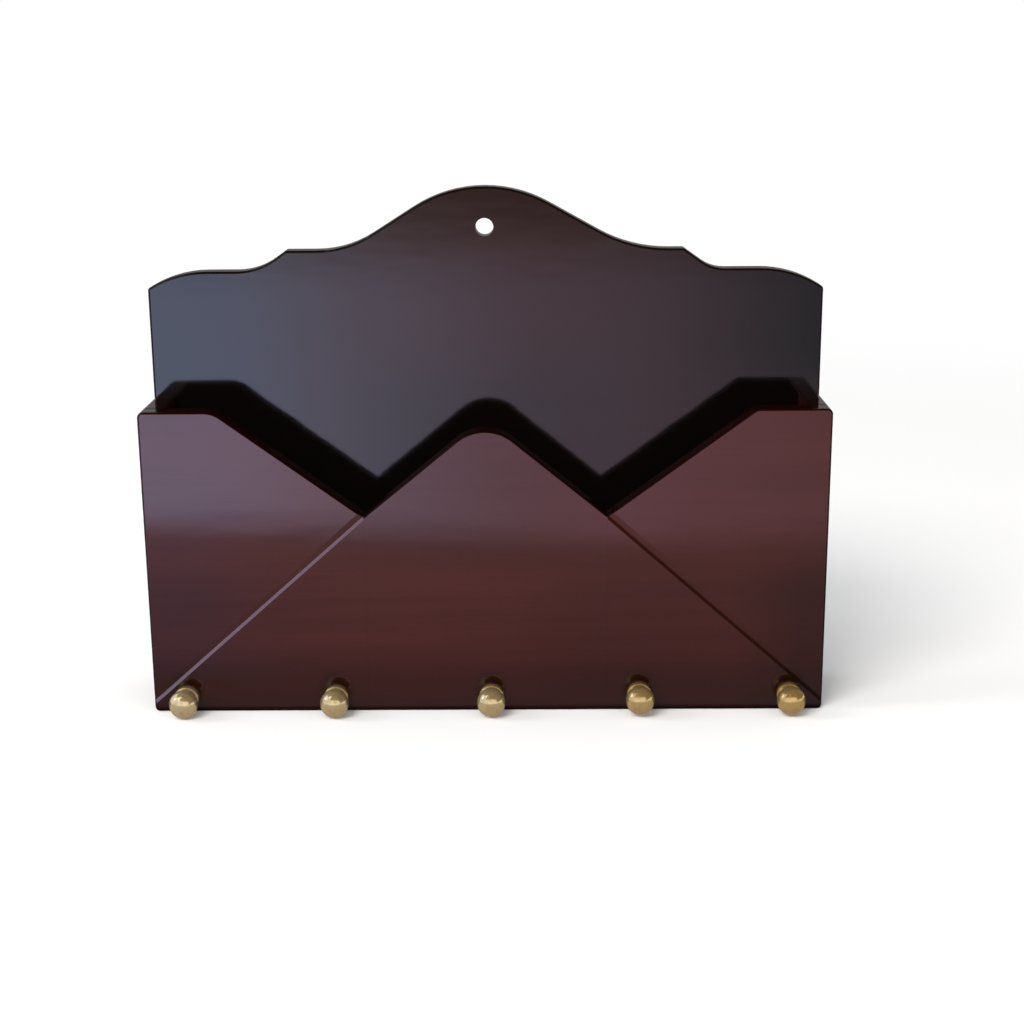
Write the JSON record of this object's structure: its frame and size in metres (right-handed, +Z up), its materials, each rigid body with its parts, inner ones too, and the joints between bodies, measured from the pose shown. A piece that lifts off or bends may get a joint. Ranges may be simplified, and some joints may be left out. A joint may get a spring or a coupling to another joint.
{
  "type": "wall mail organizer",
  "caption": "Wall letter holder of dark lacquered wood, shaped like an open envelope, with a scalloped back panel, a hanging hole and a row of small brass key knobs.",
  "frame": {"origin": "centre of the hanging hole on the wall plane, at the back face of the back panel", "axes": "+X to the right seen from the front, +Y through the back panel into the wall, +Z up; the front faces -Y"},
  "size_m": [0.3, 0.0608, 0.2297],
  "materials": {
    "lacquered_wood": "dark red-brown stain under clear high-gloss lacquer",
    "brass": "turned and polished brass, slightly dulled",
    "steel": "zinc-plated steel"
  },
  "bodies": {
    "root": {"back_panel": "lacquered_wood", "front_panel": "lacquered_wood", "left_side": "lacquered_wood", "right_side": "lacquered_wood", "bottom_board": "lacquered_wood", "key_knob_1": "brass", "knob_stud_1": "steel", "key_knob_2": "brass", "knob_stud_2": "steel", "key_knob_3": "brass", "knob_stud_3": "steel", "key_knob_4": "brass", "knob_stud_4": "steel", "key_knob_5": "brass", "knob_stud_5": "steel", "back_screw_1": "steel", "back_screw_2": "steel", "back_screw_3": "steel", "back_screw_4": "steel", "back_screw_5": "steel", "back_screw_6": "steel"}
  },
  "joints": []
}
